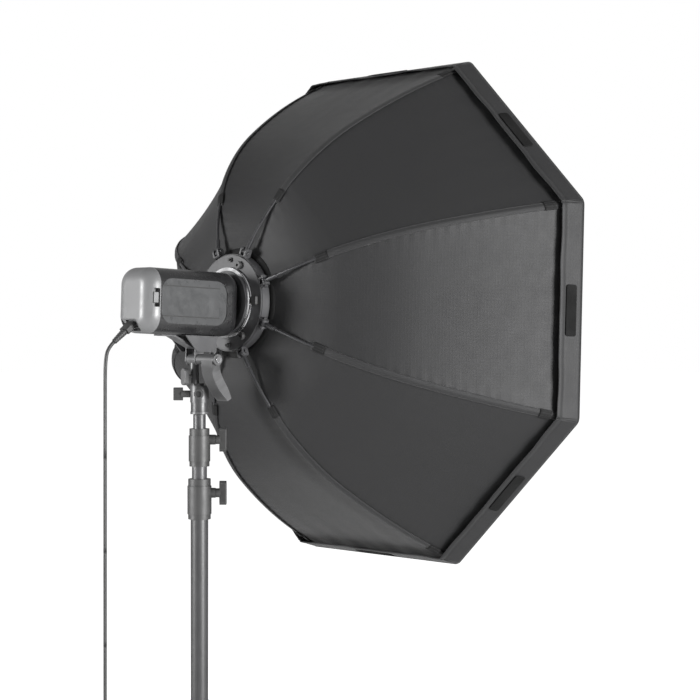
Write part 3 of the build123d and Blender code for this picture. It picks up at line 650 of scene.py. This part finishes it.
def strip_along(name, rows, across, outline, cloth_start=0.0):
    """A closed strip: rows are (point, normal, side, distance), outline is (across, up) round its section."""
    points, cloth = [], []
    for point, normal, side, distance in rows:
        for a, b in outline:
            points.append(point + side * a + normal * b)
            cloth.append((distance, a + across))
    count = len(outline)
    faces = grid_faces(len(rows), count, closed=True)
    faces.append(tuple(range(count))[::-1])
    faces.append(tuple(range((len(rows) - 1) * count, len(rows) * count)))
    piece = make_mesh(name, points, faces)
    set_cloth(piece, cloth)
    return piece


def roof_outline(half_width, ridge, thickness, slope=0.38, count=9):
    """A tape's section, bent over the seam's ridge."""
    def height(a):
        return ridge - slope * (math.hypot(a, 0.002) - 0.002)
    spots = [half_width * (2 * i / (count - 1) - 1) for i in range(count)]
    top = [(a, height(a) + thickness) for a in spots]
    bottom = [(a, height(a)) for a in reversed(spots)]
    return top + bottom


def rib_rows(number, first, last, outset=0.0):
    """Rows for a strip along one rib, between two distances."""
    angle = rib_angle(number)
    side = outward(angle + math.pi / 2)
    rows = []
    for radius, w, heading, distance in RIB:
        if first <= distance <= last:
            normal = outward(angle) * math.sin(heading) - FORWARD * math.cos(heading)
            rows.append((polar(radius, w, angle) + normal * outset, normal, side, distance))
    return rows


def add_stitches(name, rows, offsets, height_at, body, spacing=2):
    """Rows of short raised stitches along a strip."""
    points, faces = [], []
    long_half, wide_half, rise = 0.0016, 0.0005, 0.0005
    for index in range(0, len(rows) - 1):
        for part in range(spacing):
            share = (part + 0.5) / spacing
            point = rows[index][0].lerp(rows[index + 1][0], share)
            along = (rows[index + 1][0] - rows[index][0]).normalized()
            _, normal, side, _ = rows[index]
            for offset in offsets:
                centre = point + side * offset + normal * height_at(offset)
                base = len(points)
                half = min(long_half, 0.38 * (rows[index + 1][0] - rows[index][0]).length / spacing)
                points += [centre - along * half, centre - side * wide_half, centre + along * half,
                           centre + side * wide_half, centre + normal * rise, centre - normal * rise]
                for a, b in ((0, 1), (1, 2), (2, 3), (3, 0)):
                    faces.append((base + a, base + b, base + 4))
                    faces.append((base + b, base + a, base + 5))
    piece = make_mesh(name, points, faces, smooth=False)
    paint(piece, "stitch")
    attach(piece, body)


def add_seams():
    start = math.hypot(RIB_START[0] - CANOPY_START[0], RIB_START[1] - CANOPY_START[1])
    tape_half, ridge, thick = 0.0078, 0.0010, 0.0011
    for number in range(SIDES):
        body = f"rod_{number + 1}_arm"
        rows = rib_rows(number, start - 0.002, RIB_LENGTH - 0.018)
        tape = strip_along(f"seam_tape_{number + 1}", rows, 0.0, roof_outline(tape_half, ridge, thick))
        paint(tape, "tape")
        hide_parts("rod_sleeves")
        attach(tape, body)
        add_stitches(f"seam_stitches_{number + 1}", rows, (-0.0062, 0.0062),
                     lambda a: ridge + thick + 0.0001 - 0.38 * (math.hypot(a, 0.002) - 0.002), body)
        for label, first, last in (("entry", start + 0.001, start + 0.033),
                                   ("tip", RIB_LENGTH - 0.085, RIB_LENGTH - 0.054)):
            patch_rows = rib_rows(number, first, last, outset=thick + 0.0002)
            patch = strip_along(f"{label}_patch_{number + 1}", patch_rows, 0.0,
                                roof_outline(0.0093, ridge, 0.0016, count=9))
            paint(patch, "webbing")
            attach(patch, body)
            add_stitches(f"{label}_stitches_{number + 1}", patch_rows, (-0.0078, -0.0026, 0.0026, 0.0078),
                         lambda a: ridge + 0.0017 - 0.38 * (math.hypot(a, 0.002) - 0.002), body)


CORNER_RADIUS = 0.022


def rim_path(flat, corner, count_flat=26, count_corner=8):
    """(x, aside, direction) along half a side: from its middle to the corner's bisector."""
    centre = RIM_FLAT - CORNER_RADIUS
    y_centre = centre * math.tan(HALF_SIDE)
    radius = CORNER_RADIUS + (flat - RIM_FLAT)
    path = [(flat, y_centre * i / count_flat, 0.0) for i in range(count_flat)]
    for i in range(count_corner + 1):
        turn = HALF_SIDE * i / count_corner
        path.append((centre + radius * math.cos(turn), y_centre + radius * math.sin(turn), turn))
    return path


def rim_sweep(name, number, side, outline, ripple, material):
    """Sweeps a closed section of (flat offset, w) along half a side of the octagon."""
    middle = number * 2 * HALF_SIDE
    count = len(outline)
    path_length = len(rim_path(RIM_FLAT, 0))
    lanes = [rim_path(RIM_FLAT + offset, 0) for offset, _ in outline]
    points, cloth = [], []
    for i in range(path_length):
        for lane, (offset, w) in zip(lanes, outline):
            x, aside, turn = lane[i]
            wave = ripple(number, side, i / (path_length - 1), aside, w)
            points.append(polar(x + wave * math.cos(turn), w, middle, (aside + wave * math.sin(turn)) * side))
            cloth.append((aside, w + offset))
    faces = grid_faces(path_length, count, flip=side < 0, closed=True)
    piece = make_mesh(name, points, faces)
    set_cloth(piece, cloth)
    paint(piece, material)
    follow(piece)
    return piece


def band_outline():
    """The folded band: a doubled free hem behind, a flat face, and its turn at the rim."""
    slope = LIP_FLARE / LIP_DEPTH
    thick, hem, hem_depth = 0.0013, 0.0026, 0.009
    outer = []
    steps = 14
    for i in range(steps + 1):
        w = -LIP_DEPTH + LIP_DEPTH * i / steps
        bulge = 0.0
        if w < -LIP_DEPTH + hem_depth:
            bulge = 0.0009
        stitched = math.exp(-((w + LIP_DEPTH - hem_depth - 0.0012) / 0.0012) ** 2)
        outer.append((slope * w + bulge - 0.0008 * stitched, w))
    edge = [(slope * -LIP_DEPTH + 0.0004, -LIP_DEPTH - 0.0009), (slope * -LIP_DEPTH - 0.0012, -LIP_DEPTH - 0.0007)]
    inner = [(slope * -LIP_DEPTH - hem + 0.0008, -LIP_DEPTH + 0.001),
             (slope * (-LIP_DEPTH + hem_depth) - thick, -LIP_DEPTH + hem_depth),
             (slope * -0.02 - thick, -0.02), (-thick, -0.0005)]
    return outer[::-1] + edge + inner


def band_ripple(number, side, along, aside, w):
    """Slack in the band: it pulls in at the corners and waves a little at its free edge."""
    free = (-w / LIP_DEPTH) ** 1.5
    slow = math.sin(aside * 31 + number * 2.3 + side * 0.7) + 0.6 * math.sin(aside * 67 + number * 1.1)
    corner = math.exp(-((along - 0.93) / 0.06) ** 2)
    creases = math.sin(aside * 520 + w * 130) * math.exp(-((along - 0.82) / 0.10) ** 2)
    return min(1.0, along * 4) * (0.0009 * free * slow + 0.0007 * free * creases) - 0.0025 * corner * free


def piping_outline():
    radius = 0.0019
    spots = 10
    return [(-0.0014 + radius * math.cos(2 * math.pi * i / spots), 0.0012 + radius * math.sin(2 * math.pi * i / spots))
            for i in range(spots)]


def ledge_outline():
    """The front face of the rim: a flat binding that turns in over the canopy's edge."""
    return [(-0.0012, 0.0026), (-0.0012, 0.0006), (-0.0085, 0.0004), (-0.0088, 0.0014), (-0.0085, 0.0024)]


def still(number, side, along, aside, w):
    return 0.0


def add_rim():
    for number, side in halves():
        band = rim_sweep(half_name("band", number, side), number, side, band_outline(), band_ripple, "fabric")
        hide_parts("rim_band")
        rim_sweep(half_name("piping", number, side), number, side, piping_outline(), still, "webbing")
        rim_sweep(half_name("binding", number, side), number, side, ledge_outline(), still, "webbing")
        add_band_stitches(number, side)
        add_patch(number, side)


def add_band_stitches(number, side):
    """Stitch rows along the band's hem and beside its front edge."""
    middle = number * 2 * HALF_SIDE
    points, faces = [], []
    spacing, half, wide, rise = 0.0034, 0.0012, 0.0004, 0.00045
    slope = LIP_FLARE / LIP_DEPTH
    length = (RIM_FLAT - CORNER_RADIUS) * math.tan(HALF_SIDE)
    for w in (-LIP_DEPTH + 0.0102, -0.0042):
        for i in range(int((length - 0.002) / spacing)):
            aside = (i + 0.5) * spacing
            wave = band_ripple(number, side, aside / (length + 0.0086), aside, w)
            flat = RIM_FLAT + slope * w + wave - (0.0005 if w < -0.02 else 0.0)
            base = len(points)
            for da, dn, dw in ((-half, 0, 0), (0, 0, -wide), (half, 0, 0), (0, 0, wide), (0, rise, 0), (0, -rise, 0)):
                points.append(polar(flat + dn, w + dw, middle, (aside + da) * side))
            for a, b in ((0, 1), (1, 2), (2, 3), (3, 0)):
                faces.append((base + a, base + b, base + 4))
                faces.append((base + b, base + a, base + 5))
    piece = make_mesh(half_name("band_stitches", number, side), points, faces, smooth=False)
    paint(piece, "stitch")
    follow(piece)


def add_patch(number, side):
    """Half of a hook-and-loop strip, sewn on the band at the middle of a side."""
    middle = number * 2 * HALF_SIDE
    slope = math.atan2(LIP_FLARE, LIP_DEPTH)
    half_length, half_width, thick, corner = 0.0515, 0.0125, 0.0016, 0.004
    centre_flat, centre_w = RIM_FLAT - LIP_FLARE / 2, -LIP_DEPTH / 2
    columns, rows = 14, 22
    points, cloth = [], []
    for i in range(rows):
        aside = half_length * i / (rows - 1)
        over = max(0.0, aside - (half_length - corner)) / corner
        width = half_width - corner * (1 - math.sqrt(max(0.0, 1 - over * over)))
        for j in range(columns):
            turn = 2 * math.pi * (j + 0.5) / columns
            flat_turn = (abs(math.cos(turn)) ** 0.35) * math.copysign(1, math.cos(turn))
            up_turn = (abs(math.sin(turn)) ** 0.6) * math.copysign(1, math.sin(turn))
            across = width * flat_turn
            up = thick / 2 * up_turn + 0.0014
            w = centre_w + across * math.cos(slope) - up * math.sin(slope)
            flat = centre_flat + across * math.sin(slope) + up * math.cos(slope)
            points.append(polar(flat, w, middle, aside * side))
            cloth.append((aside, across))
    faces = grid_faces(rows, columns, flip=side > 0, closed=True)
    last = tuple(range((rows - 1) * columns, rows * columns))
    faces.append(last if side < 0 else last[::-1])
    piece = make_mesh(half_name("hook_loop", number, side), points, faces)
    set_cloth(piece, cloth)
    paint(piece, "hook_loop")
    follow(piece)
    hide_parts("hook_loop_patches")


def add_front_cloth(stem, flat, w, node, billow):
    """A flat octagon of white cloth in half sectors, each from its middle line to a corner."""
    rows, columns = 30, 16
    hem = 0.022
    for number, side in halves():
        middle = number * 2 * HALF_SIDE
        points, cloth = [], []
        for i in range(rows):
            radius = flat * (0.0004 + 0.9996 * i / (rows - 1))
            for j in range(columns):
                aside = radius * math.tan(HALF_SIDE) * j / (columns - 1)
                inside = flat - radius
                crown = billow * (1 - (math.hypot(radius, aside) / (flat / math.cos(HALF_SIDE))) ** 2)
                ease = 0.0006 * math.sin(aside * 95 + number) * math.exp(-inside / 0.05)
                raised = 0.0005 if inside < hem else 0.0
                points.append(polar(radius, w + crown + (ease * min(1, aside / 0.03)) + raised, middle, aside * side))
                cloth.append((radius, aside))
        piece = make_mesh(half_name(stem, number, side), points, grid_faces(rows, columns, flip=side > 0))
        set_cloth(piece, cloth)
        paint(piece, "diffuser")
        thicken(piece, 0.0005)
        follow(piece)
        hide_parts(node)


def add_baffle_straps(flat, w):
    """Short straps from the inner baffle's corners to the rods."""
    for number in range(SIDES):
        angle = rib_angle(number)
        start, end = flat / math.cos(HALF_SIDE) - 0.02, 0.4135
        rows = []
        for i in range(9):
            radius = start + (end - start) * i / 8
            rows.append((polar(radius, w + 0.0014, angle), FORWARD, outward(angle + math.pi / 2), radius))
        outline = [(-0.009, 0), (0.009, 0), (0.009, 0.0012), (-0.009, 0.0012)]
        strap = strip_along(f"baffle_strap_{number + 1}", rows, 0.0, outline)
        paint(strap, "webbing")
        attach(strap, f"rod_{number + 1}_arm")


def add_ring_collar():
    """The fabric's neck: a flared ring that closes the gap between the drum and the gores."""
    around = 96
    outline = [(0.0996, -0.4445), (0.1042, -0.4428), (0.1120, -0.4414), (0.1120, -0.4406), (0.1040, -0.4418),
               (0.0996, -0.4435)]
    points, cloth = [], []
    for i in range(around):
        angle = 2 * math.pi * i / around
        for radius, w in outline:
            points.append(polar(radius, w, angle))
            cloth.append((radius, angle * radius))
    count = len(outline)
    faces = []
    for i in range(around):
        for j in range(count):
            k, n = (j + 1) % count, (i + 1) % around
            faces.append((i * count + j, n * count + j, n * count + k, i * count + k))
    collar = make_mesh("canopy_neck", points, faces)
    set_cloth(collar, cloth)
    paint(collar, "webbing")
    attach(collar, "softbox")


def add_relief_ribs():
    """Moulded ribs round the lead's strain relief."""
    ribs, around = 6, 24
    side = INLET_OUT.cross(ACROSS)
    points, faces = [], []
    for rib in range(ribs):
        share = (rib + 0.5) / ribs
        centre = PLUG_START + INLET_OUT * (PLUG_LENGTH + RELIEF_LENGTH * share)
        radius = 0.0063 + (0.0044 - 0.0063) * share
        outline = [(-0.0018, -0.0006), (-0.0011, 0.0009), (0.0011, 0.0009), (0.0018, -0.0006)]
        base = len(points)
        for i in range(around):
            turn = 2 * math.pi * i / around
            away = ACROSS * math.cos(turn) + side * math.sin(turn)
            points += [centre + away * (radius + up) + INLET_OUT * along for along, up in outline]
        for i in range(around):
            n = (i + 1) % around
            for j in range(4):
                k = (j + 1) % 4
                faces.append((base + i * 4 + j, base + n * 4 + j, base + n * 4 + k, base + i * 4 + k))
    piece = make_mesh("relief_ribs", points, faces, smooth=False)
    paint(piece, "rubber")
    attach(piece, "flash_head")


make_materials()
add_camera()
add_cords()
add_stage()
paint_frame()
add_side_recess()
add_gores()
add_seams()
add_rim()
add_front_cloth("diffuser", 0.488, -0.0615, "front_diffuser", 0.004)
add_front_cloth("baffle", 0.340, -0.2495, "inner_baffle", 0.003)
add_baffle_straps(0.340, -0.2495)
add_ring_collar()
add_relief_ribs()


bpy.context.view_layer.update()
